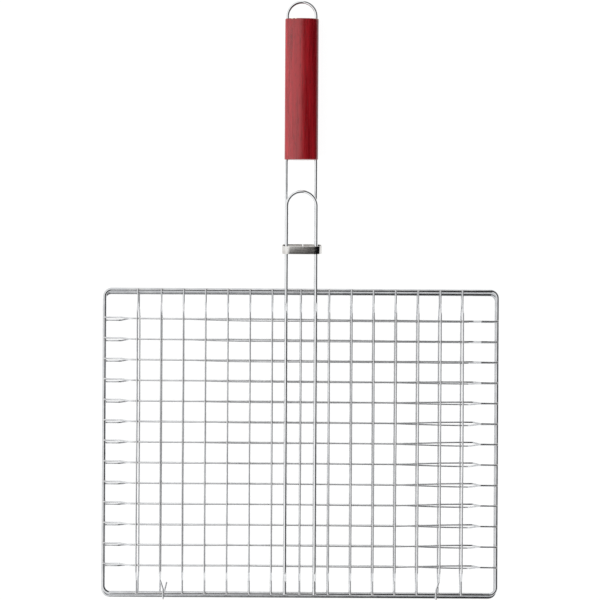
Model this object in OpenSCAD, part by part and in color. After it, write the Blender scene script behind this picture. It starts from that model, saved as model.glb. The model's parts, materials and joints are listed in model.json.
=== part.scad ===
// Grill basket: two wire grids in rounded frames, hinged along one edge by hooked wires.
// The lower grid carries the long handle with its wooden grip and hanging loop, the upper
// grid carries the short handle, and a loose steel band slides along both to lock them shut.
// Millimetres. +Z up, +Y toward the handle, the basket lies flat as it would on a table.

/* [Frames] */
// Outer width of both frames, across the basket
basket_w = 400; // [380:1:420]
// Outer length of each frame, from its hinge edge to its handle edge
basket_l = 309.7; // [300:0.1:330]
// Diameter of the frame wire
frame_d = 3.5; // [3:0.1:4]
// Radius of the frame's corners, along the middle of the wire
corner_r = 7; // [5:0.5:12]
// Height of the gap between the two closed frames
frame_gap = 0.3; // [0.2:0.1:1]
// How far the upper frame sits toward the handle
upper_shift = 3.3; // [3:0.1:5]
// How far the upper basket sits to the right, in the play of its hinge
upper_offset = 0.7; // [0:0.1:0.8]

/* [Grids] */
// Diameter of the grid wire
wire_d = 1.8; // [1.5:0.1:2]
// Number of cross wires in each grid
cross_n = 13; // [7:1:13]
// Spacing of the cross wires
cross_pitch = 20.7; // [18:0.1:20.7]
// Distance from the hinge edge to the first lower cross wire
cross_start = 29.9; // [27:0.1:32]
// Number of long wires on each side of the middle one
side_n = 7; // [4:1:7]
// Spacing of the long wires
long_pitch = 22.4; // [20:0.1:23]
// Distance from the middle long wire to the next one, where the handle rods pass
centre_gap = 28.7; // [26:0.1:30]
// How far each grid bows outward from its frame
bow = 8; // [5:0.5:12]
// Flat length at each end of a cross wire, from the frame
cross_border = 16; // [10:0.5:18]
// Flat length at each end of a long wire, from the frame
long_border = 13; // [11:0.5:14]
// Length of the slope between the border and the bowed middle
slope = 10; // [8:0.5:12]
// How far a welded wire sinks into the one that it crosses
weld_sink = 0.1; // [0.05:0.05:0.15]
// How far the wire ends run past the middle of the frame wire
end_past = 1; // [0.5:0.1:1.2]
// How far the upper cross wires sit toward the handle
upper_slip = 1.9; // [0:0.1:3.3]
// Lean of the upper cross wires from square, in degrees
upper_lean = 0.3; // [0:0.1:0.5]
// How far the upper left side wire sits outside its place
side_wire_set = 1.5; // [0:0.1:2]

/* [Hinge] */
// Play between a hook and the frame wire that it turns on
hook_play = 0.25; // [0.2:0.05:0.5]
// Sidestep of each hook toward the middle of the basket
hook_step = 3; // [3:0.1:5]
// Length of the left hook's tail
left_tail = 14; // [2:0.5:16]
// Length of the right hook's tail
right_tail = 3; // [2:0.5:16]
// Lean of the tails toward the middle of the basket, in degrees
tail_lean = 13; // [0:1:20]

/* [Handles] */
// Diameter of the handle rods
rod_d = 3.3; // [3:0.1:3.6]
// Distance between the two rods of a handle, centre to centre
rod_gap = 29.8; // [28:0.1:31]
// Distance from the hinge edge to the centre of the short handle's arch
arch_y = 394.3; // [380:0.1:410]
// Distance from the hinge edge to the centre of the hanging loop
loop_y = 587; // [585.6:0.1:600]

/* [Grip] */
// Length of the wooden grip
grip_l = 142.8; // [120:0.1:150]
// Distance from the hinge edge to the lower end of the grip
grip_y = 441.7; // [430:0.1:442]
// Width of the grip, across both rods
grip_w = 34; // [33.2:0.1:35]
// Thickness of the grip at its middle
grip_t = 18; // [17:0.5:22]
// Rounding of the grip's long edges
grip_edge_r = 5; // [4:0.5:5.5]
// Radius of the grip's crowned faces
grip_crown_r = 34; // [32:1:60]
// Play of a rod in its groove
groove_play = 0.05; // [0.05:0.05:0.2]

/* [Lock ring] */
// Width of the steel band, along the handle
band_w = 8; // [6:0.5:10]
// Thickness of the band
band_t = 1; // [0.8:0.1:1.2]
// Outer width of the ring, across the handle
ring_w = 40.4; // [39.7:0.1:42]
// Outer height of the ring
ring_h = 19; // [18.5:0.1:20]
// Outer radius of the ring's corners
ring_corner_r = 6; // [5.5:0.1:6]
// Distance from the hinge edge to the ring's middle
ring_y = 351.2; // [340:0.1:360]
// How far the loose ring sits to the right
ring_offset = 1.1; // [0:0.1:1.1]
// Lean of the loose ring, in degrees
ring_tilt = 8.5; // [0:0.5:9]
// Width of the seam where the band's ends meet
seam_w = 0.8; // [0.4:0.1:1.5]
// Distance from the ring's middle to the seam
seam_x = 1; // [0:0.5:5]

/* [Hidden] */
$fn = 48;
// Balls at the bends stand this far proud, so that they close over the ends of the bars
bend_swell = 0.06;
// Overlap of a cutter past the face that it opens
cut = 1;

frame_x = (basket_w - frame_d) / 2;
frame_y = basket_l - frame_d;
frame_z = (frame_gap + frame_d) / 2;
frame_face_z = frame_z + frame_d / 2;
wire_low_z = frame_face_z + wire_d / 2 - weld_sink;
cross_z = wire_low_z + bow;
long_z = cross_z + wire_d - weld_sink;
rod_low_z = frame_face_z + rod_d / 2 - weld_sink;
rod_z = cross_z + wire_d / 2 + rod_d / 2 - weld_sink;
rod_x = rod_gap / 2;

hook_r = frame_d / 2 + hook_play + wire_d / 2;
hook_bend_r = 2;
hook_run_up = 4;

long_n = 2 * side_n + 1;
low_z = rod_z + rod_d / 2 + bend_swell;
high_y = loop_y + rod_x + rod_d / 2;
low_y = -hook_r - wire_d / 2;
middle_x = upper_offset / 2;
middle_y = (high_y + low_y) / 2;

function two_digits(i) = str(i < 10 ? "0" : "", i);
function lower_cross_name(i) = str("lower_cross_wire_", two_digits(i));
function upper_cross_name(i) = str("upper_cross_wire_", two_digits(i));
function lower_long_name(i) = str("lower_long_wire_", two_digits(i));
function upper_long_name(i) = str("upper_long_wire_", two_digits(i));

// Place of long wire i across the basket, counted from the left
function long_x(i) =
    let (k = i - side_n - 1)
    k == 0 ? 0 : sign(k) * (centre_gap + (abs(k) - 1) * long_pitch);

// Moves the basket from its hinge edge to the part's own origin, below the middle of its box
module placed() {
    translate([-middle_x, -middle_y, low_z]) children();
}

// Moves a part of the upper basket, which sits a little to the right of the lower one
module upper_placed() {
    placed() translate([upper_offset, 0, 0]) children();
}

// What belongs to the lower grid is the upper one's mirror image, turned over at z = 0
module turned_over() {
    mirror([0, 0, 1]) children();
}

// A straight round bar from a to b
module bar(a, b, d) {
    v = b - a;
    translate(a) rotate([0, acos(v.z / norm(v)), atan2(v.y, v.x)]) cylinder(d = d, h = norm(v));
}

// Bars from point to point, with a ball at each bend
module run(points, d) {
    last = len(points) - 1;
    for (i = [1:last]) bar(points[i - 1], points[i], d);
    for (i = [1:last - 1]) translate(points[i]) sphere(d = d + 2 * bend_swell);
}

// A bent length of round wire in the XY plane, from angle start, through angle sweep
module bend(r, d, start, sweep) {
    rotate([0, 0, start]) rotate_extrude(angle = sweep) translate([r, 0]) circle(d = d);
}

// Height along a bowed wire: low at both borders, high between the slopes, as [distance, height]
function bowed(from, to, border, low, high) = [
    [from - end_past, low],
    [from + border, low],
    [from + border + slope, high],
    [to - border - slope, high],
    [to - border, low],
    [to + end_past, low]
];

module frame_loop() {
    straight_x = frame_x - corner_r;
    straight_y = frame_y - corner_r;
    for (y = [0, frame_y]) bar([-straight_x, y, 0], [straight_x, y, 0], frame_d);
    for (x = [-frame_x, frame_x]) bar([x, corner_r, 0], [x, straight_y, 0], frame_d);
    translate([straight_x, straight_y, 0]) bend(corner_r, frame_d, 0, 90);
    translate([-straight_x, straight_y, 0]) bend(corner_r, frame_d, 90, 90);
    translate([-straight_x, corner_r, 0]) bend(corner_r, frame_d, 180, 90);
    translate([straight_x, corner_r, 0]) bend(corner_r, frame_d, 270, 90);
}

module cross_wire() {
    run([for (p = bowed(-frame_x, frame_x, cross_border, wire_low_z, cross_z)) [p.x, 0, p.y]], wire_d);
}

module long_wire() {
    run([for (p = bowed(0, frame_y, long_border, wire_low_z, long_z)) [0, p.x, p.y]], wire_d);
}

// Both rods of a handle, from the hinge edge over the bowed grid to end_y, joined by a half loop
module handle_loop(end_y) {
    rise = bowed(0, frame_y, long_border, rod_low_z, rod_z);
    for (x = [-rod_x, rod_x]) {
        run(concat([for (i = [0:4]) [x, rise[i].x, rise[i].y]], [[x, end_y, rod_low_z]]), rod_d);
    }
    translate([0, end_y, rod_low_z]) bend(rod_x, rod_d, 0, 180);
}

module lower_frame() {
    color("silver") placed() translate([0, 0, -frame_z]) frame_loop();
}

module upper_frame() {
    color("silver") upper_placed() translate([0, upper_shift, frame_z]) frame_loop();
}

module lower_cross_wire(i) {
    color("lightgray") placed() turned_over()
        translate([0, cross_start + (i - 1) * cross_pitch, 0]) cross_wire();
}

module upper_cross_wire(i) {
    color("lightgray") upper_placed()
        translate([0, cross_start + upper_slip + (i - 1) * cross_pitch, 0])
            rotate([0, 0, -upper_lean]) cross_wire();
}

module lower_long_wire(i) {
    color("gainsboro") placed() turned_over() translate([long_x(i), 0, 0]) long_wire();
}

module upper_long_wire(i) {
    color("gainsboro") upper_placed() translate([long_x(i), upper_shift, 0]) long_wire();
}

module lower_side_wires() {
    for (i = [1, long_n]) lower_long_wire(i);
}

module upper_side_wires() {
    translate([-side_wire_set, 0, 0]) upper_long_wire(1);
    upper_long_wire(long_n);
}

// A long wire of the upper grid that runs on past its frame, steps aside and hooks round
// the lower frame's hinge wire; side is -1 on the left and 1 on the right
module hinge_wire(side, tail) {
    wire_x = long_x(side < 0 ? 2 : long_n - 1);
    hook_x = wire_x - side * hook_step;
    rise = bowed(0, frame_y, long_border, wire_low_z, long_z);
    over_y = hook_bend_r - hook_r;
    path = concat(
        [for (i = [5:-1:1]) [wire_x, upper_shift + rise[i].x, rise[i].y]],
        [[hook_x, upper_shift + hook_run_up, wire_low_z], [hook_x, over_y, wire_low_z]]
    );
    bottom = [hook_x, 0, -frame_z - hook_r];
    run(path, wire_d);
    translate([hook_x, over_y, wire_low_z - hook_bend_r]) rotate([90, 0, 90])
        bend(hook_bend_r, wire_d, 90, 90);
    bar([hook_x, -hook_r, wire_low_z - hook_bend_r], [hook_x, -hook_r, -frame_z], wire_d);
    translate([hook_x, 0, -frame_z]) rotate([90, 0, 90]) bend(hook_r, wire_d, 180, 90);
    translate(bottom) sphere(d = wire_d + 2 * bend_swell);
    bar(bottom, bottom + tail * [-side * sin(tail_lean), cos(tail_lean), 0], wire_d);
}

module hinge_wire_left() {
    color("gainsboro") upper_placed() hinge_wire(-1, left_tail);
}

module hinge_wire_right() {
    color("gainsboro") upper_placed() hinge_wire(1, right_tail);
}

module long_handle() {
    color("silver") placed() turned_over() handle_loop(loop_y);
}

module short_handle() {
    color("silver") upper_placed() translate([0, upper_shift, 0]) handle_loop(arch_y - upper_shift);
}

// The grip's cross-section: crowned top and bottom that run smoothly into rounded edges, and a
// groove in each side
module grip_section() {
    groove_d = rod_d + 2 * groove_play;
    crown_y = grip_crown_r - grip_t / 2;
    edge_x = grip_w / 2 - grip_edge_r;
    edge_y = sqrt(pow(grip_crown_r - grip_edge_r, 2) - pow(edge_x, 2)) - crown_y;
    crown_end_x = edge_x * grip_crown_r / (grip_crown_r - grip_edge_r);
    difference() {
        union() {
            intersection() {
                square([2 * crown_end_x, grip_t + cut], center = true);
                translate([0, crown_y]) circle(r = grip_crown_r);
                translate([0, -crown_y]) circle(r = grip_crown_r);
            }
            for (x = [-1, 1], y = [-1, 1]) translate([x * edge_x, y * edge_y]) circle(r = grip_edge_r);
            square([grip_w, 2 * edge_y], center = true);
        }
        for (x = [-rod_x, rod_x]) {
            translate([x, 0]) circle(d = groove_d);
            translate([x + sign(x) * grip_w / 4, 0]) square([grip_w / 2, groove_d], center = true);
        }
    }
}

module rounded_rectangle(w, h, r) {
    square([w, h - 2 * r], center = true);
    square([w - 2 * r, h], center = true);
    for (x = [-1, 1], y = [-1, 1]) translate([x * (w / 2 - r), y * (h / 2 - r)]) circle(r = r);
}

module wooden_grip() {
    color("firebrick") placed() translate([0, grip_y + grip_l, -rod_low_z]) rotate([90, 0, 0])
        linear_extrude(grip_l) grip_section();
}

module lock_ring() {
    color("darkgray") placed() translate([ring_offset, ring_y, 0]) rotate([90 + ring_tilt, 0, 0])
        linear_extrude(band_w, center = true) difference() {
            rounded_rectangle(ring_w, ring_h, ring_corner_r);
            rounded_rectangle(ring_w - 2 * band_t, ring_h - 2 * band_t, ring_corner_r - band_t);
            translate([seam_x, -ring_h / 2]) square([seam_w, 2 * (band_t + cut)], center = true);
        }
}

lower_frame();
lower_side_wires();
for (i = [1:cross_n]) {
    lower_cross_wire(i);
    upper_cross_wire(i);
}
for (i = [2:long_n - 1]) {
    lower_long_wire(i);
}
long_handle();
wooden_grip();
lock_ring();
upper_frame();
upper_side_wires();
for (i = [3:long_n - 2]) {
    upper_long_wire(i);
}
hinge_wire_left();
hinge_wire_right();
short_handle();
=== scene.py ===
import json
import math

import bmesh
import bpy
from mathutils import Matrix, Vector, noise


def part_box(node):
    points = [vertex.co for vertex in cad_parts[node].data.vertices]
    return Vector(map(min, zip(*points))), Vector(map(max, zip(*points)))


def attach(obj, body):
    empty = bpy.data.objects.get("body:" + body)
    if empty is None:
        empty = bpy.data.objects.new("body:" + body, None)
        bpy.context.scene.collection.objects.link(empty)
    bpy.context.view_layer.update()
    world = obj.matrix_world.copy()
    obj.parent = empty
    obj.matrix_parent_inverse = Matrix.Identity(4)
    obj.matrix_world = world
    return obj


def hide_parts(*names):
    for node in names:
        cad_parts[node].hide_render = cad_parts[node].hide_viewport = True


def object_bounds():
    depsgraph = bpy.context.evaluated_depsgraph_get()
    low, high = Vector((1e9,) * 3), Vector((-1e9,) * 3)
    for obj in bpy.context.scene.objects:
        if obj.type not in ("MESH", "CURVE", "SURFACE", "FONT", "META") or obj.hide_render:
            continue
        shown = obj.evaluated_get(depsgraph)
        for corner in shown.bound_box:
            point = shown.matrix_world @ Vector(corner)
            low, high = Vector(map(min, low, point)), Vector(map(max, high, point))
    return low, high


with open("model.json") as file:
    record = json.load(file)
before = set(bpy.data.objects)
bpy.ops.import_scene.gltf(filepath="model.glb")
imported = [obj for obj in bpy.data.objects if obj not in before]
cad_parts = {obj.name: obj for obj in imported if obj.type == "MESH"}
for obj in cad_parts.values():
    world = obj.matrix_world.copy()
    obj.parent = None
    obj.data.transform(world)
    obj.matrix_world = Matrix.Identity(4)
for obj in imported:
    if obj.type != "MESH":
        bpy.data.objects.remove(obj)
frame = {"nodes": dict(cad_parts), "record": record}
cad_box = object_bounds()

# The closed basket lies on the floor, +Y toward the handle, +Z up. Everything is in metres.
X, Y, Z = Vector((1, 0, 0)), Vector((0, 1, 0)), Vector((0, 0, 1))

# Wires, as the frame's own sizes don't give them. END_PAST is how far a cut end runs past the middle
# of the frame's wire, and BALL_PROUD how far the CAD's bends stand out of a wire.
WIRE_R = 0.0009
ROD_R = 0.00165
WELD_SINK = 0.0001
BALL_PROUD = 0.00006
END_PAST = 0.001
BOW = 0.008
SLOPE = 0.010
CROSS_BORDER = 0.016
LONG_BORDER = 0.013
UPPER_LEAN = math.radians(-0.3)
ROD_X = 0.0149
FRAME_CORNER_R = 0.007
WIRE_BEND_R = 0.004
ROD_BEND_R = 0.006

# Hooks at the hinge
HOOK_R = 0.0029
HOOK_BEND_R = 0.002
HOOK_FOOT = HOOK_BEND_R / 4
HOOK_STEP = 0.003
HOOK_RUN_UP = 0.004
TAIL_LEAN = math.radians(13)
LEFT_TAIL = 0.014
RIGHT_TAIL = 0.003

# The loop end of the long handle closes up by this much on each side, past a slight bend
LOOP_PINCH = 0.00045
PINCH_BEND_R = 0.2

# How far each grid's cross wires were pressed askew toward the handle, near the left and the right
# corners of the bowed part: at the hinge and at the handle
PRESSED_LEFT = {"lower": (-0.0005, 0.002), "upper": (-0.00075, -0.00075)}
PRESSED_RIGHT = {"lower": (-0.0018, 0.0), "upper": (0.0023, 0.0)}

# Where that pressing starts and where it is full: in metres from the middle toward each side, and, on
# the right, as shares of the frame's length from the hinge
LEFT_PRESS_REACH = (0.05, 0.14)
RIGHT_PRESS_REACH = (0.08, 0.165)
RIGHT_PRESS_CHANGE = (0.45, 0.9)

# A drawn wire's sideways wander: its size, its slow and quick waves per metre, the quick ones' share,
# and how far apart in the noise the wires and the two kinds of wave are taken
WIRE_DRIFT = 0.00022
SLOW_WAVES = 8
QUICK_WAVES = 30
QUICK_SHARE = 0.35
SEED_STEP = 3.7
UPPER_SEEDS = 40
SLOW_NOISE = 0.5
QUICK_NOISE = 9.5

# How finely the wires are drawn. No added point comes nearer than STATION_GAP to the end of a run.
WIRE_SIDES = 12
ROD_SIDES = 20
STATION_STEP = 0.012
STATION_GAP = END_PAST / 4
ARC_STEP = math.radians(8)

# Welds: how far their brown tint and painted shade reach along a wire, how near to a weld its wire runs,
# and the beads' half width and height
WELD_REACH = 0.0016
WELD_NEAR = 2 * ROD_R
GRID_BEAD_W = 0.0009
ROD_BEAD_W = 0.0012
BORDER_BEAD_W = 0.0013
BEAD_H = 0.00042
FRAME_BEAD_H = 0.00055
FRAME_BEAD_GROWTH = 1.35
BEAD_UNEVEN = 0.16

# The butt weld that closes each frame: its place along the left side, its half length, the length
# cleared for it, its rise, and the points that draw each half
BUTT_WELD_PLACE = 0.46
BUTT_WELD_HALF = 0.0012
BUTT_WELD_CLEAR = 1.3 * BUTT_WELD_HALF
BUTT_WELD_RISE = 0.09
BUTT_WELD_STEPS = 3

# A sheared wire end narrows over this part of its radius, down to this part of it
SHEAR_LENGTH = 0.28
SHEAR_NARROW = 0.8

# Grip section
GRIP_EDGE_R = 0.005
GRIP_CROWN_R = 0.034
GRIP_GROOVE_R = 0.0017
GRIP_END_R = 0.0011
CROWN_STEPS = 20
EDGE_STEPS = 9
GROOVE_STEPS = 5
END_STEPS = 5

# Wear of the grip: its turned unevenness with its waves per metre, and the chips along its upper rim
TURNED_UNEVEN = 0.00004
TURNED_WAVES_ACROSS = 60
TURNED_WAVES_ALONG = 25
CHIP_DEPTH = 0.0004
CHIP_REACH = 0.0016
CHIP_SCALE = 420
CHIP_RARITY = 0.08
CHIP_GAIN = 4
CHIP_SEED = Vector((0, 0, 3.1))

# Lock ring
RING_W = 0.0404
RING_H = 0.019
BAND_W = 0.008
BAND_T = 0.001
RING_CORNER_R = 0.006
RING_TILT = math.radians(8.5)
RING_CROWN = 0.0001
SEAM_X = 0.001
SEAM_W = 0.0008
FACE_STEPS = 12
CORNER_STEPS = 9
RIM_STEPS = 3
RIM_ROUNDING = 0.32

# The plating, light and dark: on the frames, the grids, the rods and the ring
FRAME_LIGHT, FRAME_DARK = (0.67, 0.68, 0.69, 1), (0.57, 0.58, 0.6, 1)
GRID_LIGHT, GRID_DARK = (0.78, 0.79, 0.8, 1), (0.68, 0.69, 0.71, 1)
ROD_LIGHT, ROD_DARK = (0.81, 0.82, 0.83, 1), (0.74, 0.75, 0.76, 1)
BAND_LIGHT, BAND_DARK = (0.74, 0.73, 0.71, 1), (0.64, 0.62, 0.6, 1)

# Marks in the plating: drawing lines on a wire, a weld's brown tint darkened with painted shade, and
# scratches on the ring
DRAWN_GREY = (0.5, 0.51, 0.53, 1)
WELD_TINT_SHADE = (0.36, 0.31, 0.26, 1)
SCRATCH_GREY = (0.45, 0.44, 0.43, 1)

# The stain and varnish of the grip
WOOD_LIGHT = (0.36, 0.008, 0.014, 1)
WOOD_MID = (0.26, 0.005, 0.009, 1)
WOOD_DARK = (0.17, 0.003, 0.006, 1)
WOOD_PORE = (0.06, 0.002, 0.003, 1)
BARE_WOOD = (0.72, 0.52, 0.36, 1)


def middle(node):
    """The middle of a CAD node's box."""
    low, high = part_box(node)
    return (low + high) / 2


LOWER_LOW, LOWER_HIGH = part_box("lower_frame")
FRAME_R = (LOWER_HIGH.z - LOWER_LOW.z) / 2
FRAME_X = (LOWER_HIGH.x - LOWER_LOW.x) / 2 - FRAME_R
HINGE_Y = LOWER_LOW.y + FRAME_R
FRAME_LENGTH = LOWER_HIGH.y - LOWER_LOW.y - 2 * FRAME_R
UPPER_SHIFT = middle("upper_frame").y - middle("lower_frame").y
PARTING_Z = (middle("upper_frame").z + middle("lower_frame").z) / 2
HINGE_AXIS_Z = middle("lower_frame").z

# Heights from the parting plane, the same above it for the upper grid as below it for the lower
FRAME_FACE = middle("upper_frame").z - PARTING_Z + FRAME_R
WIRE_LOW = FRAME_FACE + WIRE_R - WELD_SINK
CROSS_HIGH = WIRE_LOW + BOW
LONG_HIGH = CROSS_HIGH + 2 * WIRE_R - WELD_SINK
ROD_LOW = FRAME_FACE + ROD_R - WELD_SINK
ROD_HIGH = CROSS_HIGH + WIRE_R + ROD_R - WELD_SINK


# ---------------------------------------------------------------- paths

def rounded(corners, radii):
    """Corners joined by straight runs, with an arc of its own radius at each inner corner."""
    path = [corners[0]]
    for before, corner, after, radius in zip(corners, corners[1:], corners[2:], radii):
        back = (before - corner).normalized()
        onward = (after - corner).normalized()
        turn = math.pi - back.angle(onward)
        start = corner + back * radius * math.tan(turn / 2)
        centre = corner + (back + onward).normalized() * radius / math.cos(turn / 2)
        steps = max(2, math.ceil(turn / ARC_STEP))
        for k in range(steps + 1):
            a = turn * k / steps
            path.append(centre + (start - centre) * math.cos(a) - back * radius * math.sin(a))
    path.append(corners[-1])
    return path


def stationed(path, welds):
    """The path with more points on its straight runs: at each weld, on both sides of it, and between."""
    made = [path[0]]
    for a, b in zip(path, path[1:]):
        span = (b - a).length
        stops = []
        for weld in welds:
            along = (weld - a).dot(b - a) / span
            if (a.lerp(b, along / span) - weld).length < WELD_NEAR:
                stops += [along - WELD_REACH, along, along + WELD_REACH]
        count = math.ceil(span / STATION_STEP)
        for k in range(1, count):
            if all(abs(k * span / count - s) > WELD_REACH for s in stops):
                stops.append(k * span / count)
        made += [a.lerp(b, s / span) for s in sorted(stops) if STATION_GAP < s < span - STATION_GAP]
        made.append(b)
    return made


def drift(seed, along):
    """How far a drawn wire strays sideways from its line, in a slow and small wander."""
    slow = noise.noise(Vector((along * SLOW_WAVES, seed * SEED_STEP, SLOW_NOISE)))
    quick = noise.noise(Vector((along * QUICK_WAVES, seed * SEED_STEP, QUICK_NOISE)))
    return WIRE_DRIFT * (slow + QUICK_SHARE * quick)


def bowed(length, border, low, high):
    """Distance and height of a bowed wire's corners, from one frame edge to the other."""
    return [
        (-END_PAST, low),
        (border, low),
        (border + SLOPE, high),
        (length - border - SLOPE, high),
        (length - border, low),
        (length + END_PAST, low),
    ]


# ---------------------------------------------------------------- meshes

def put_in_scene(name, data):
    """A new object that shows the data."""
    made = bpy.data.objects.new(name, data)
    bpy.context.scene.collection.objects.link(made)
    return made


class Shape:
    """A mesh in the making, with a length-and-girth map and each point's weld tint and painted shade."""

    def __init__(self):
        self.bm = bmesh.new()
        self.map = self.bm.loops.layers.uv.new("along")
        self.tint_and_shade = self.bm.verts.layers.float.new("weld_heat")

    def ring(self, points):
        return [self.bm.verts.new(p) for p in points]

    def bridge(self, ring_a, ring_b, along_a, along_b):
        """Quads from one ring to the next, mapped by length and girth."""
        n = len(ring_a)
        for k in range(n):
            m = (k + 1) % n
            face = self.bm.faces.new((ring_a[k], ring_a[m], ring_b[m], ring_b[k]))
            corners = ((along_a, k), (along_a, k + 1), (along_b, k + 1), (along_b, k))
            for loop, (along, girth) in zip(face.loops, corners):
                loop[self.map].uv = (along, girth / n)

    def skin(self, rings):
        """Joins each ring to the next. Every ring comes with its distance along the piece."""
        for (ring_a, along_a), (ring_b, along_b) in zip(rings, rings[1:]):
            self.bridge(ring_a, ring_b, along_a, along_b)

    def cap(self, rings):
        """Closes the first and the last ring."""
        return [self.bm.faces.new(rings[0][0][::-1]), self.bm.faces.new(rings[-1][0])]

    def mark_weld_tint_and_shade(self, welds):
        """Marks the points near the welds, for the brown tint and dulling of the plating there and the
        painted shade of the crevices where the wires meet.
        """
        for v in self.bm.verts:
            near = min(((v.co - w).length for w in welds), default=1.0)
            v[self.tint_and_shade] = max(v[self.tint_and_shade], math.exp(-(near / WELD_REACH) ** 2))

    def bead(self, at, width, height):
        """A weld bead: a small, uneven, flattened nugget between two wires."""
        place = Matrix.Translation(at) @ Matrix.Diagonal((width, width, height, 1))
        made = bmesh.ops.create_icosphere(self.bm, subdivisions=2, radius=1, matrix=place)
        for v in made["verts"]:
            uneven = 1 + BEAD_UNEVEN * noise.noise(v.co / BEAD_H)
            v.co = at + (v.co - at) * uneven
            # The whole bead takes the weld's brown tint and painted shade.
            v[self.tint_and_shade] = 1

    def finish(self, name, material, smooth_angle=38):
        mesh = bpy.data.meshes.new(name)
        self.bm.to_mesh(mesh)
        self.bm.free()
        mesh.shade_smooth()
        mesh.set_sharp_from_angle(angle=math.radians(smooth_angle))
        mesh.materials.append(material)
        return put_in_scene(name, mesh)


def turned_frames(path, closed):
    """At each point of a path its direction and two square directions, the first starting downward."""
    n = len(path)
    across = None
    for i, p in enumerate(path):
        before = path[i - 1] if i or closed else p
        after = path[(i + 1) % n] if i + 1 < n or closed else p
        forward = (after - before).normalized()
        across = -Z if across is None else across
        across = (across - forward * across.dot(forward)).normalized()
        yield p, across, forward.cross(across)


def tube(shape, path, radius, sides, closed=False, swell=None):
    """Sweeps a round wire along a path. swell gives the radius's factor at a distance along it."""
    along, last, rings = 0.0, path[0], []
    for p, across, up in turned_frames(path, closed):
        along += (p - last).length
        last = p
        r = radius * (swell(along) if swell else 1)
        turns = [2 * math.pi * k / sides for k in range(sides)]
        ring = shape.ring([p + r * (across * math.cos(a) + up * math.sin(a)) for a in turns])
        rings.append((ring, along))
    shape.skin(rings)
    if closed:
        shape.bridge(rings[-1][0], rings[0][0], along, along + (path[0] - path[-1]).length)
    else:
        shape.cap(rings)


def sheared_ends(path, radius):
    """Adds the points where a wire's cut ends start to narrow, and gives the swell that narrows them."""
    nick = SHEAR_LENGTH * radius
    first = path[0] + (path[1] - path[0]).normalized() * nick
    final = path[-1] + (path[-2] - path[-1]).normalized() * nick
    longer = [path[0], first, *path[1:-1], final, path[-1]]
    length = sum((b - a).length for a, b in zip(longer, longer[1:]))

    def swell(along):
        from_end = min(along, length - along)
        return SHEAR_NARROW + (1 - SHEAR_NARROW) * min(1.0, from_end / nick)

    return longer, swell


def wire(shape, path, radius, sides, welds):
    """One round wire with sheared ends and the marks of its welds."""
    path, swell = sheared_ends(path, radius)
    tube(shape, path, radius, sides, swell=swell)
    shape.mark_weld_tint_and_shade(welds)


# ---------------------------------------------------------------- materials

class Shader:
    """The nodes of one material or of the world, each added and fed in one call."""

    def __init__(self, owner):
        owner.use_nodes = True
        self.owner = owner
        self.tree = owner.node_tree
        self.surface = next(n for n in self.tree.nodes if n.type in ("BSDF_PRINCIPLED", "BACKGROUND"))

    def add(self, kind, settings=None, **inputs):
        made = self.tree.nodes.new("ShaderNode" + kind)
        for name, value in (settings or {}).items():
            setattr(made, name, value)
        for name, value in inputs.items():
            self.feed(made.inputs[name.replace("_", " ")], value)
        return made

    def feed(self, socket, value):
        if isinstance(value, bpy.types.NodeSocket):
            self.tree.links.new(value, socket)
        else:
            socket.default_value = value

    def finish_with(self, **inputs):
        """Feeds the surface, or the world's background."""
        for name, value in inputs.items():
            self.feed(self.surface.inputs[name.replace("_", " ")], value)

    def stretched(self, vector, scale):
        return self.add("Mapping", Vector=vector, Scale=scale).outputs["Vector"]

    def cloud(self, vector, scale, detail=3.0, roughness=0.55):
        made = self.add("TexNoise", Vector=vector, Scale=scale, Detail=detail, Roughness=roughness)
        return made.outputs["Fac"]

    def ranged(self, value, low, high, to_low=0.0, to_high=1.0):
        made = self.add("MapRange", {"interpolation_type": "SMOOTHSTEP"}, Value=value)
        for name, number in zip(("From Min", "From Max", "To Min", "To Max"), (low, high, to_low, to_high)):
            made.inputs[name].default_value = number
        return made.outputs["Result"]

    def maths(self, operation, a, b):
        made = self.add("Math", {"operation": operation})
        self.feed(made.inputs[0], a)
        self.feed(made.inputs[1], b)
        return made.outputs["Value"]

    def blend(self, amount, a, b, blend_type="MIX"):
        made = self.add("Mix", {"data_type": "RGBA", "blend_type": blend_type})
        self.feed(made.inputs["Factor"], amount)
        self.feed(made.inputs[6], a)
        self.feed(made.inputs[7], b)
        return made.outputs[2]

    def bump(self, height, strength, distance, normal=None):
        made = self.add("Bump", Height=height, Strength=strength, Distance=distance)
        if normal is not None:
            self.feed(made.inputs["Normal"], normal)
        return made.outputs["Normal"]


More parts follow.
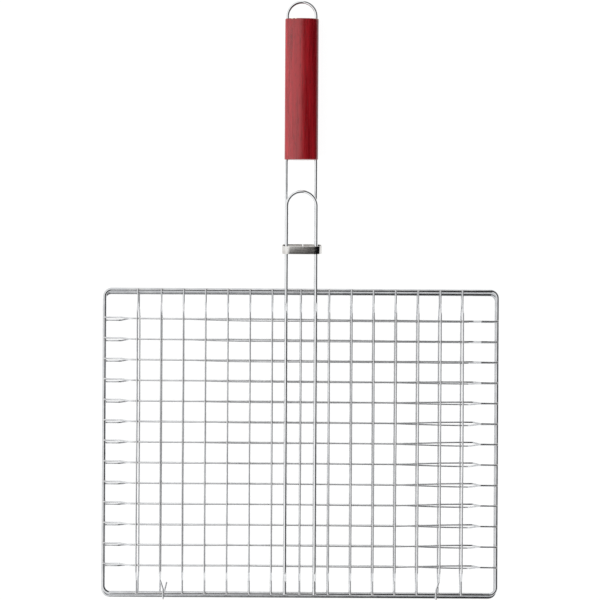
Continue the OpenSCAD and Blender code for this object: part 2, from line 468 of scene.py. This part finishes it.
def plated_steel(name, light, dark, polish, lines):
    """Bright plated wire: drawing lines along it, cloudy plating, and dull welds, tinted brown and darkened
    with painted shade.
    """
    s = Shader(bpy.data.materials.new(name))
    place = s.add("TexCoord").outputs["Object"]
    along = s.add("UVMap", {"uv_map": "along"}).outputs["UV"]
    tint_and_shade = s.add("Attribute", {"attribute_name": "weld_heat"}).outputs["Fac"]
    cloudy = s.cloud(place, 140.0)
    specks = s.cloud(place, 900.0, detail=2.0)
    drawn = s.cloud(s.stretched(along, (70.0, lines, 1.0)), 1.0, detail=4.0)
    # Near each weld the plating is tinted brown and darkened: painted shade in the crevices where the wires
    # meet.
    tinted_shade = s.maths("MULTIPLY", tint_and_shade, s.ranged(s.cloud(place, 420.0), 0.3, 0.7, 0.35, 1.0))
    colour = s.blend(s.ranged(cloudy, 0.3, 0.7), light, dark)
    colour = s.blend(s.ranged(drawn, 0.55, 0.8, 0.0, 0.3), colour, DRAWN_GREY)
    colour = s.blend(s.maths("MULTIPLY", tinted_shade, 0.55), colour, WELD_TINT_SHADE)
    drawn_rough = s.ranged(drawn, 0.3, 0.75, polish, polish + 0.08)
    rough = s.maths("ADD", drawn_rough, s.maths("MULTIPLY", tinted_shade, 0.22))
    rough = s.maths("ADD", rough, s.ranged(specks, 0.6, 0.8, 0.0, 0.06))
    ridged = s.bump(drawn, 0.25, 0.00004)
    normal = s.bump(cloudy, 0.12, 0.0003, ridged)
    s.finish_with(Base_Color=colour, Metallic=1.0, Roughness=rough, Normal=normal)
    return s.owner


def band_steel(name):
    """The lock ring's plated strip: fine rolling lines round it, handling marks and a cloudy light and dark
    tone.
    """
    s = Shader(bpy.data.materials.new(name))
    place = s.add("TexCoord").outputs["Object"]
    along = s.add("UVMap", {"uv_map": "along"}).outputs["UV"]
    rolled = s.cloud(s.stretched(along, (45.0, 150.0, 1.0)), 1.0, detail=4.0)
    smudged = s.cloud(place, 90.0, detail=4.0)
    marks = s.cloud(s.stretched(place, (60.0, 900.0, 500.0)), 1.0, detail=2.0)
    colour = s.blend(s.ranged(smudged, 0.35, 0.65), BAND_LIGHT, BAND_DARK)
    colour = s.blend(s.ranged(marks, 0.66, 0.74, 0.0, 0.35), colour, SCRATCH_GREY)
    rough = s.maths("ADD", s.ranged(rolled, 0.3, 0.7, 0.09, 0.17), s.ranged(smudged, 0.5, 0.75, 0.0, 0.06))
    normal = s.bump(smudged, 0.1, 0.0004, s.bump(rolled, 0.25, 0.00003))
    s.finish_with(Base_Color=colour, Metallic=1.0, Roughness=rough, Normal=normal)
    return s.owner


def red_wood(name, end_grain=False):
    """Red-stained beech under satin varnish: fibres, growth bands, short pores and bare chips."""
    s = Shader(bpy.data.materials.new(name))
    place = s.add("TexCoord").outputs["Object"]
    bare = s.add("Attribute", {"attribute_name": "chip"}).outputs["Fac"]
    grain_scale = (260.0, 260.0, 260.0) if end_grain else (420.0, 16.0, 420.0)
    band_scale = (120.0, 40.0, 120.0) if end_grain else (120.0, 5.0, 120.0)
    pore_scale = (1500.0, 1500.0, 1500.0) if end_grain else (1500.0, 130.0, 1500.0)
    fibre = s.cloud(s.stretched(place, grain_scale), 1.0, detail=5.0, roughness=0.65)
    bands = s.cloud(s.stretched(place, band_scale), 1.0, detail=2.0)
    pores = s.cloud(s.stretched(place, pore_scale), 1.0, detail=1.0)
    blotch = s.cloud(place, 70.0, detail=2.0)
    colour = s.blend(s.ranged(fibre, 0.3, 0.7), WOOD_DARK, WOOD_LIGHT)
    colour = s.blend(s.ranged(bands, 0.4, 0.65, 0.0, 0.5), colour, WOOD_MID)
    colour = s.blend(s.ranged(blotch, 0.4, 0.7, 0.0, 0.35), colour, WOOD_MID)
    colour = s.blend(s.ranged(pores, 0.62, 0.74, 0.0, 0.7), colour, WOOD_PORE)
    if end_grain:
        colour = s.blend(0.45, colour, WOOD_PORE)
    torn = s.ranged(s.maths("MULTIPLY", bare, s.ranged(fibre, 0.2, 0.7, 0.6, 1.3)), 0.35, 0.6)
    colour = s.blend(torn, colour, BARE_WOOD)
    rough = s.maths("ADD", s.ranged(fibre, 0.3, 0.7, 0.24, 0.36), s.maths("MULTIPLY", torn, 0.35))
    rough = s.maths("ADD", rough, s.ranged(pores, 0.6, 0.75, 0.0, 0.15))
    pitted = s.bump(s.ranged(pores, 0.6, 0.75, 1.0, 0.0), 0.35, 0.0001)
    normal = s.bump(fibre, 0.35, 0.00018, pitted)
    s.finish_with(Base_Color=colour, Roughness=rough, Normal=normal, Coat_Weight=0.6)
    s.finish_with(Coat_Roughness=0.2, Specular_IOR_Level=0.5)
    return s.owner


FINISHES = {
    "frame_wire": plated_steel("frame_plating", FRAME_LIGHT, FRAME_DARK, polish=0.06, lines=46.0),
    "grid_wire": plated_steel("grid_plating", GRID_LIGHT, GRID_DARK, polish=0.07, lines=26.0),
    "handle_rod": plated_steel("rod_plating", ROD_LIGHT, ROD_DARK, polish=0.06, lines=44.0),
    "ring_band": band_steel("ring_plating"),
    "red_wood": red_wood("stained_wood"),
}


# ---------------------------------------------------------------- the record's own lists

BODY_OF = {n: body for body, nodes in frame["record"]["behaviour"]["bodies"].items() for n in nodes}
SLOT_OF = {p["node"]: p["material_slot"] for p in frame["record"]["subparts"]}


def nodes_like(prefix):
    return sorted(n for n in frame["nodes"] if n.startswith(prefix))


def place_piece(shape, node, smooth_angle=38):
    """Makes a node's own piece from a shape, with the finish chosen for its slot, on the body that it rides
    on.
    """
    piece = shape.finish(node + "_formed", FINISHES[SLOT_OF[node]], smooth_angle)
    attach(piece, BODY_OF[node])
    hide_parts(node)
    return piece


# ---------------------------------------------------------------- where the wires cross

def eased(value, start, end):
    """Rises smoothly from 0 at start to 1 at end."""
    t = min(1.0, max(0.0, (value - start) / (end - start)))
    return t * t * (3 - 2 * t)


class Grid:
    """One of the two grids: where its wires lie, and where they meet."""

    def __init__(self, name, side, edge_y, lean):
        self.name, self.side, self.edge_y, self.lean = name, side, edge_y, lean
        self.x = middle(name + "_frame").x
        self.cross = {n: middle(n).y for n in nodes_like(name + "_cross_wire")}
        self.long = {n: middle(n).x for n in nodes_like(name + "_long_wire")}
        outermost = name + "_side_wires"
        low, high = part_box(outermost)
        self.long[outermost + ":left"] = low.x + WIRE_R + BALL_PROUD
        self.long[outermost + ":right"] = high.x - WIRE_R - BALL_PROUD
        if side > 0:
            self.long["hinge_wire_left"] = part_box("hinge_wire_left")[0].x + WIRE_R + BALL_PROUD
            self.long["hinge_wire_right"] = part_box("hinge_wire_right")[1].x - WIRE_R - BALL_PROUD
        first_seed = 1 + (UPPER_SEEDS if side > 0 else 0)
        self.seeds = {n: first_seed + i for i, n in enumerate([*self.cross, *self.long])}

    def z(self, height):
        return PARTING_Z + self.side * height

    def pressed(self, node, from_middle):
        """How far the press pushed a cross wire's bowed part aside there."""
        up = (self.cross[node] - self.edge_y) / FRAME_LENGTH
        left_hinge, left_handle = PRESSED_LEFT[self.name]
        right_hinge, right_handle = PRESSED_RIGHT[self.name]
        left = left_hinge + (left_handle - left_hinge) * up
        right = right_hinge + (right_handle - right_hinge) * eased(up, *RIGHT_PRESS_CHANGE)
        left *= eased(-from_middle, *LEFT_PRESS_REACH)
        right *= eased(from_middle, *RIGHT_PRESS_REACH)
        flat_from = FRAME_X - CROSS_BORDER
        return (left + right) * (1 - eased(abs(from_middle), flat_from - SLOPE, flat_from))

    def cross_y(self, node, x):
        """Where a cross wire runs at x, with its lean, its pressing and its wander."""
        out = x - self.x
        straight = self.cross[node] + out * math.tan(self.lean)
        return straight + self.pressed(node, out) + drift(self.seeds[node], out)

    def long_x(self, node, y):
        """Where a long wire runs at y, with its wander."""
        return self.long[node] + drift(self.seeds[node], y)

    def on_cross(self, cross, x):
        """The weld at x on a cross wire's outer face."""
        return Vector((x, self.cross_y(cross, x), self.z(CROSS_HIGH + WIRE_R - WELD_SINK / 2)))

    def crossing(self, cross, long):
        """The weld of a cross wire and a long wire."""
        return self.on_cross(cross, self.long_x(long, self.cross[cross]))

    def on_frame(self, x, y):
        """The weld at x, y on the frame's face."""
        return Vector((x, y, self.z(FRAME_FACE - WELD_SINK / 2)))

    def side_welds(self, cross):
        """A cross wire's two welds on the frame."""
        return [self.on_frame(x, self.cross_y(cross, x)) for x in (self.x - FRAME_X, self.x + FRAME_X)]

    def edge_welds(self, long):
        """A long wire's two welds on the frame."""
        return [self.on_frame(self.long_x(long, y), y) for y in self.edges()]

    def rod_xs(self):
        """The middles of the handle's two rods."""
        return self.x - ROD_X, self.x + ROD_X

    def edges(self):
        """The middles of the frame's two cross bars, at the hinge and at the handle."""
        return self.edge_y, self.edge_y + FRAME_LENGTH


LOWER = Grid("lower", -1, HINGE_Y, 0.0)
UPPER = Grid("upper", 1, HINGE_Y + UPPER_SHIFT, UPPER_LEAN)


# ---------------------------------------------------------------- frames

def frame_path(grid):
    """A rounded rectangle along the middle of the frame's wire, with extra points at its butt weld."""
    low_y, high_y = grid.edges()
    z = PARTING_Z + grid.side * (FRAME_FACE - FRAME_R)
    left, right = grid.x - FRAME_X, grid.x + FRAME_X
    butt = Vector((left, low_y + BUTT_WELD_PLACE * FRAME_LENGTH, z))
    plan = [(left, low_y), (right, low_y), (right, high_y), (left, high_y)]
    corners = [Vector((x, y, z)) for x, y in plan]
    path = rounded([butt, *corners, butt], [FRAME_CORNER_R] * 4)
    welds = [w for n in grid.cross for w in grid.side_welds(n)]
    welds += [w for n in grid.long for w in grid.edge_welds(n)]
    welds += [grid.on_frame(x, y) for x in grid.rod_xs() for y in grid.edges()]
    ridge = [butt + Y * k * BUTT_WELD_HALF / BUTT_WELD_STEPS for k in range(BUTT_WELD_STEPS, 0, -1)]
    path = [p for p in stationed(path, welds) if (p - butt).length > BUTT_WELD_CLEAR]
    return [butt, *(2 * butt - p for p in reversed(ridge)), *path, *ridge], welds


def make_frame(grid):
    shape = Shape()
    path, welds = frame_path(grid)
    total = sum((b - a).length for a, b in zip(path, [*path[1:], path[0]]))

    def swell(along):
        from_butt = min(along, total - along)
        return 1 + BUTT_WELD_RISE * math.sqrt(max(0.0, 1 - from_butt / BUTT_WELD_HALF))

    tube(shape, path, FRAME_R, ROD_SIDES, closed=True, swell=swell)
    shape.mark_weld_tint_and_shade([*welds, path[0]])
    place_piece(shape, grid.name + "_frame")


# ---------------------------------------------------------------- grids

def make_cross_wire(grid, node):
    line = bowed(2 * FRAME_X, CROSS_BORDER, WIRE_LOW, CROSS_HIGH)
    corners = [Vector((grid.x - FRAME_X + x, 0, grid.z(h))) for x, h in line]
    rods = [grid.on_cross(node, x) for x in grid.rod_xs()]
    welds = [grid.crossing(node, long) for long in grid.long] + rods + grid.side_welds(node)
    flat_welds = [Vector((w.x, 0, w.z)) for w in welds]
    path = stationed(rounded(corners, [WIRE_BEND_R] * 4), flat_welds)
    for p in path:
        p.y = grid.cross_y(node, p.x)
    shape = Shape()
    wire(shape, path, WIRE_R, WIRE_SIDES, welds)
    for weld in grid.side_welds(node):
        shape.bead(weld, BORDER_BEAD_W, FRAME_BEAD_H)
    place_piece(shape, node)


def add_long_wire(shape, grid, name):
    """One long wire and the beads that hold it to the cross wires and the frame."""
    line = bowed(FRAME_LENGTH, LONG_BORDER, WIRE_LOW, LONG_HIGH)
    corners = [Vector((0, grid.edge_y + y, grid.z(h))) for y, h in line]
    crossings = [grid.crossing(cross, name) for cross in grid.cross]
    welds = crossings + grid.edge_welds(name)
    flat_welds = [Vector((0, w.y, w.z)) for w in welds]
    path = stationed(rounded(corners, [WIRE_BEND_R] * 4), flat_welds)
    for p in path:
        p.x = grid.long_x(name, p.y)
    wire(shape, path, WIRE_R, WIRE_SIDES, welds)
    add_beads(shape, crossings, grid.edge_welds(name))


def add_beads(shape, crossings, frame_welds, width=GRID_BEAD_W):
    for weld in crossings:
        shape.bead(weld, width, BEAD_H)
    for weld in frame_welds:
        shape.bead(weld, width * FRAME_BEAD_GROWTH, FRAME_BEAD_H)


def make_long_wire(grid, node):
    shape = Shape()
    add_long_wire(shape, grid, node)
    place_piece(shape, node)


def make_side_wires(grid):
    node = grid.name + "_side_wires"
    shape = Shape()
    for name in (node + ":left", node + ":right"):
        add_long_wire(shape, grid, name)
    place_piece(shape, node)


# ---------------------------------------------------------------- hinge

def hook_corners(wire_x, hook_x, side, tail):
    """The corners of a hinge wire from the frame's handle edge to the tip of its hook, and their radii."""
    line = bowed(FRAME_LENGTH, LONG_BORDER, WIRE_LOW, LONG_HIGH)
    low_z, under_z = PARTING_Z + WIRE_LOW, HINGE_AXIS_Z - HOOK_R
    corners = [Vector((wire_x, UPPER.edge_y + y, PARTING_Z + h)) for y, h in line[:0:-1]]
    bottom = Vector((hook_x, HINGE_Y, under_z))
    tip = bottom + tail * Vector((-side * math.sin(TAIL_LEAN), math.cos(TAIL_LEAN), 0))
    corners += [
        Vector((hook_x, UPPER.edge_y + HOOK_RUN_UP, low_z)),
        Vector((hook_x, HINGE_Y - HOOK_R, low_z)),
        Vector((hook_x, HINGE_Y - HOOK_R, under_z)),
        bottom + Y * HOOK_FOOT,
        tip,
    ]
    return corners, [WIRE_BEND_R] * 5 + [HOOK_BEND_R, HOOK_R, HOOK_BEND_R]


def make_hinge_wire(node, side, tail):
    wire_x = UPPER.long[node]
    hook_x = wire_x - side * HOOK_STEP
    corners, radii = hook_corners(wire_x, hook_x, side, tail)
    crossings = [UPPER.crossing(cross, node) for cross in UPPER.cross]
    hinge_edge_y, handle_edge_y = UPPER.edges()
    far_weld = UPPER.on_frame(wire_x, handle_edge_y)
    near_weld = UPPER.on_frame(hook_x, hinge_edge_y)
    welds = [*crossings, far_weld, near_weld]
    path = stationed(rounded(corners, radii), welds)
    for p in path:
        fade = min(1.0, max(0.0, (p.y - UPPER.edge_y - LONG_BORDER) / LONG_BORDER))
        p.x += fade * drift(UPPER.seeds[node], p.y)
    shape = Shape()
    wire(shape, path, WIRE_R, WIRE_SIDES, welds)
    add_beads(shape, crossings, [far_weld, near_weld])
    place_piece(shape, node)


# ---------------------------------------------------------------- handles

def handle_path(grid, end_y, pinch_from_y, pinch, welds):
    """Up the left rod, round the half loop and down the right rod."""
    line = bowed(FRAME_LENGTH, LONG_BORDER, ROD_LOW, ROD_HIGH)[:5]
    left_x, loop_r = grid.rod_xs()[0], ROD_X - pinch
    corners = [Vector((left_x, grid.edge_y + y, grid.z(h))) for y, h in line]
    corners.append(Vector((left_x, pinch_from_y, corners[-1].z)))
    corners.append(Vector((grid.x - loop_r, end_y, corners[-1].z)))
    leg = stationed(rounded(corners, [ROD_BEND_R] * 4 + [PINCH_BEND_R]), welds)
    steps = math.ceil(math.pi / ARC_STEP) * 2
    loop = []
    for k in range(1, steps):
        turn = math.pi * k / steps
        loop.append(Vector((grid.x - loop_r * math.cos(turn), end_y + loop_r * math.sin(turn), leg[-1].z)))
    other_leg = [Vector((2 * grid.x - p.x, p.y, p.z)) for p in reversed(leg)]
    return leg + loop + other_leg


def make_handle(node, grid, pinch_from_y, pinch):
    end_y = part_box(node)[1].y - ROD_R - ROD_X
    welds = [grid.on_cross(cross, x) for cross in grid.cross for x in grid.rod_xs()]
    edge_welds = [grid.on_frame(x, y) for x in grid.rod_xs() for y in grid.edges()]
    path = handle_path(grid, end_y, pinch_from_y, pinch, welds + edge_welds)
    shape = Shape()
    wire(shape, path, ROD_R, ROD_SIDES, welds + edge_welds)
    add_beads(shape, welds, edge_welds, width=ROD_BEAD_W)
    place_piece(shape, node)


# ---------------------------------------------------------------- grip

def grip_outline(half_w, half_t, groove_x):
    """The grip's section from the middle of its top to the bottom of its right groove: points with
    the directions in which they draw in toward the ends."""
    crown = GRIP_CROWN_R - half_t
    edge_x = half_w - GRIP_EDGE_R
    edge_z = math.sqrt((GRIP_CROWN_R - GRIP_EDGE_R) ** 2 - edge_x ** 2) - crown
    meet = math.asin(edge_x / (GRIP_CROWN_R - GRIP_EDGE_R))
    lip = math.acos((GRIP_GROOVE_R - edge_z) / GRIP_EDGE_R)
    points = []
    for k in range(CROWN_STEPS):
        a = meet * k / CROWN_STEPS
        points.append((GRIP_CROWN_R * math.sin(a), GRIP_CROWN_R * math.cos(a) - crown, a))
    for k in range(EDGE_STEPS + 1):
        a = meet + (lip - meet) * k / EDGE_STEPS
        points.append((edge_x + GRIP_EDGE_R * math.sin(a), edge_z + GRIP_EDGE_R * math.cos(a), a))
    outer = [(Vector((x, z)), Vector((math.sin(a), math.cos(a)))) for x, z, a in points]
    for k in range(GROOVE_STEPS + 1):
        a = math.pi / 2 * (1 + k / GROOVE_STEPS)
        point = Vector((groove_x + GRIP_GROOVE_R * math.cos(a), GRIP_GROOVE_R * math.sin(a)))
        outer.append((point, Vector((0, 0))))
    return outer


def mirrored_outline(quarter):
    """The whole section, clockwise from the middle of the top, from its upper right quarter."""
    flips = ((1, 1, 1), (1, -1, -1), (-1, -1, 1), (-1, 1, -1))
    whole = []
    for sx, sz, step in flips:
        turned = [(Vector((p.x * sx, p.y * sz)), Vector((n.x * sx, n.y * sz))) for p, n in quarter]
        whole += turned[::step][:-1]
    return whole


def grip_stations(low_y, high_y):
    """Distances along the grip with how far its skin draws in there, rounding both ends."""
    turns = [math.pi / 2 * k / END_STEPS for k in range(END_STEPS + 1)]
    start = [(low_y + GRIP_END_R * (1 - math.cos(a)), GRIP_END_R * (1 - math.sin(a))) for a in turns]
    count = round((high_y - low_y) / STATION_STEP) * 2
    span = high_y - low_y - 2 * GRIP_END_R
    body = [(low_y + GRIP_END_R + span * k / count, 0.0) for k in range(1, count)]
    end = [(low_y + high_y - y, inset) for y, inset in reversed(start)]
    return start + body + end


def chipped(x, z, from_top):
    """How far the varnish and wood are chipped off, along the rim of the grip's upper end."""
    rim = max(0.0, 1 - from_top / CHIP_REACH)
    knocks = max(0.0, noise.noise(Vector((x, z, 0)) * CHIP_SCALE + CHIP_SEED) - CHIP_RARITY)
    return rim * min(1.0, knocks * CHIP_GAIN) * (z > 0)


def grip_ring(shape, chip, centre, high, y, up, inset):
    """One ring of the grip's skin at y, a share up of the way along it, drawn in by inset."""
    quarter = grip_outline(high.x - centre.x, high.z - centre.z, ROD_X - LOOP_PINCH * up)
    across, along = TURNED_WAVES_ACROSS, TURNED_WAVES_ALONG
    ring = []
    for p, outward in mirrored_outline(quarter):
        worn = chipped(p.x, p.y, high.y - y)
        wave = noise.noise(Vector((p.x * across, y * along, p.y * across)))
        uneven = TURNED_UNEVEN * wave if inset == 0 else 0
        q = p - outward * (inset + CHIP_DEPTH * worn - uneven)
        v = shape.bm.verts.new((centre.x + q.x, y, centre.z + q.y))
        v[chip] = worn
        ring.append(v)
    return ring


def make_grip():
    node = "wooden_grip"
    low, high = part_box(node)
    centre = (low + high) / 2
    shape = Shape()
    chip = shape.bm.verts.layers.float.new("chip")
    rings = []
    for y, inset in grip_stations(low.y, high.y):
        up = (y - low.y) / (high.y - low.y)
        rings.append((grip_ring(shape, chip, centre, high, y, up, inset), y))
    shape.skin(rings)
    ends = shape.cap(rings)
    for face in ends:
        face.material_index = 1
    bmesh.ops.triangulate(shape.bm, faces=ends, ngon_method="EAR_CLIP")
    piece = place_piece(shape, node, smooth_angle=50)
    piece.data.materials.append(red_wood("stained_end_grain", end_grain=True))


# ---------------------------------------------------------------- lock ring

def ring_outline():
    """The band's middle line as points and outward directions, from one side of the seam to the other."""
    w, h = (RING_W - BAND_T) / 2, (RING_H - BAND_T) / 2
    r = RING_CORNER_R - BAND_T / 2
    flat_x, flat_h = w - r, h - r
    line = []

    def face(from_x, to_x, sign):
        for k in range(FACE_STEPS + 1):
            x = from_x + (to_x - from_x) * k / FACE_STEPS
            rise = RING_CROWN * (1 - (x / flat_x) ** 2)
            slope = 2 * RING_CROWN * x / flat_x ** 2
            line.append((Vector((x, sign * (h + rise))), Vector((slope, sign)).normalized()))

    def corner(x, z, start):
        for k in range(1, CORNER_STEPS):
            a = start + math.pi / 2 * k / CORNER_STEPS
            out = Vector((math.cos(a), math.sin(a)))
            line.append((Vector((x, z)) + r * out, out))

    face(SEAM_X + SEAM_W / 2, flat_x, -1)
    corner(flat_x, -flat_h, -math.pi / 2)
    line.append((Vector((w, -flat_h)), Vector((1, 0))))
    line.append((Vector((w, flat_h)), Vector((1, 0))))
    corner(flat_x, flat_h, 0)
    face(flat_x, -flat_x, 1)
    corner(-flat_x, flat_h, math.pi / 2)
    line.append((Vector((-w, flat_h)), Vector((-1, 0))))
    line.append((Vector((-w, -flat_h)), Vector((-1, 0))))
    corner(-flat_x, -flat_h, math.pi)
    face(-flat_x, SEAM_X - SEAM_W / 2, -1)
    return line


def band_section():
    """The strip's own section, as places across it and out from its middle, with rounded rims."""
    r, steps = BAND_T * RIM_ROUNDING, RIM_STEPS
    half_w, half_t = BAND_W / 2 - r, BAND_T / 2 - r
    section = []
    for sw, st, start in ((1, 1, 0), (-1, 1, 1), (-1, -1, 2), (1, -1, 3)):
        for k in range(steps + 1):
            a = math.pi / 2 * (start + k / steps)
            section.append((sw * half_w + r * math.cos(a), st * half_t + r * math.sin(a)))
    return section


def make_ring():
    node = "lock_ring"
    centre = middle(node)
    axis = Vector((0, -math.cos(RING_TILT), -math.sin(RING_TILT)))
    upward = Vector((0, -math.sin(RING_TILT), math.cos(RING_TILT)))
    shape = Shape()
    rings, along, last = [], 0.0, None
    for p, out in ring_outline():
        along += (p - last).length if last else 0.0
        last = p
        outward = X * out.x + upward * out.y
        place = centre + X * p.x + upward * p.y
        rings.append((shape.ring([place + axis * a + outward * t for a, t in band_section()]), along))
    shape.skin(rings)
    shape.cap(rings)
    bmesh.ops.recalc_face_normals(shape.bm, faces=shape.bm.faces)
    place_piece(shape, node, smooth_angle=32)


# ---------------------------------------------------------------- studio

CAMERA_HEIGHT = 2.5
CAMERA_ROLL = math.radians(0.32)
CAMERA_ASIDE = Vector((-0.0008, -0.0001, 0))
LENS_MM = 148.4

# The paper floor glows a little, so that it stays white
FLOOR_HALF = 40.0
FLOOR_GREY = (0.08, 0.08, 0.08, 1)
FLOOR_GLOW = 0.97

KEY_STRENGTH = 2.4
KEY_WIDTH = math.radians(40)
KEY_TURN = (math.radians(14), math.radians(-50), 0)

# The tent round the basket brightens with height, as the upward part of a direction. It is open to the
# right of a seam that leans by SEAM_SKEW, and the dark behind the opening deepens away from the seam.
TENT_RISE = (0.2, 0.6)
TENT_LOW = (0.94, 0.94, 0.94, 1)
TENT_HIGH = (1.12, 1.12, 1.12, 1)
SEAM_SKEW = 0.12
SEAM_FADE = (-0.08, 0.03)
OPENING_RISE = (0.14, 0.3)
DEPTH_FADE = (0.0, 0.1)
SHADE_NEAR = (0.12, 0.115, 0.11, 1)
SHADE_DEEP = (0.006, 0.006, 0.007, 1)


def make_camera():
    """Straight above the basket, turned by a hair, as the catalogue view has it."""
    low, high = cad_box
    centre = (low + high) / 2
    camera = put_in_scene("camera", bpy.data.cameras.new("camera"))
    camera.location = centre + CAMERA_ASIDE + Z * CAMERA_HEIGHT
    camera.rotation_euler = (0, 0, CAMERA_ROLL)
    camera.data.lens = LENS_MM
    bpy.context.scene.camera = camera


def make_floor():
    bm = bmesh.new()
    signs = ((-1, -1), (1, -1), (1, 1), (-1, 1))
    bm.faces.new([bm.verts.new((sx * FLOOR_HALF, sy * FLOOR_HALF, 0)) for sx, sy in signs])
    mesh = bpy.data.meshes.new("floor")
    bm.to_mesh(mesh)
    bm.free()
    s = Shader(bpy.data.materials.new("floor_paper"))
    s.finish_with(Base_Color=FLOOR_GREY, Roughness=0.9, Specular_IOR_Level=0.0)
    s.finish_with(Emission_Color=(1, 1, 1, 1), Emission_Strength=FLOOR_GLOW)
    mesh.materials.append(s.owner)
    floor = put_in_scene("floor", mesh)


def make_studio_light():
    """A wide, soft key light from the upper left, for the floor and the wood."""
    lamp = bpy.data.lights.new("key_light", "SUN")
    lamp.energy = KEY_STRENGTH
    lamp.angle = KEY_WIDTH
    light = put_in_scene("key_light", lamp)
    light.rotation_euler = KEY_TURN
    light.visible_glossy = False


def make_studio_room():
    """What the bright metal mirrors: a white tent, open and dark from overhead to the right."""
    world = bpy.data.worlds.new("studio")
    bpy.context.scene.world = world
    s = Shader(world)
    way = s.add("SeparateXYZ", Vector=s.add("TexCoord").outputs["Generated"])
    rightward, forward, upward = (way.outputs[n] for n in "XYZ")
    from_seam = s.maths("SUBTRACT", rightward, s.maths("MULTIPLY", forward, SEAM_SKEW))
    opening = s.maths("MULTIPLY", s.ranged(from_seam, *SEAM_FADE), s.ranged(upward, *OPENING_RISE))
    shade = s.blend(s.ranged(from_seam, *DEPTH_FADE), SHADE_NEAR, SHADE_DEEP)
    tent = s.blend(s.ranged(upward, *TENT_RISE), TENT_LOW, TENT_HIGH)
    s.finish_with(Color=s.blend(opening, tent, shade), Strength=1.0)


def show_plainly():
    """Shows the light as it is, without a film look."""
    bpy.context.scene.view_settings.view_transform = "Standard"
    bpy.context.scene.view_settings.look = "None"


# ---------------------------------------------------------------- the basket

def make_basket():
    for grid in (LOWER, UPPER):
        make_frame(grid)
        make_side_wires(grid)
        for node in grid.cross:
            make_cross_wire(grid, node)
        for node in nodes_like(grid.name + "_long_wire"):
            make_long_wire(grid, node)
    make_hinge_wire("hinge_wire_left", -1, LEFT_TAIL)
    make_hinge_wire("hinge_wire_right", 1, RIGHT_TAIL)
    make_handle("short_handle", UPPER, middle("lock_ring").y, 0.0)
    make_handle("long_handle", LOWER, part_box("wooden_grip")[0].y, LOOP_PINCH)
    make_grip()
    make_ring()


make_camera()
make_floor()
make_studio_light()
make_studio_room()
show_plainly()
make_basket()
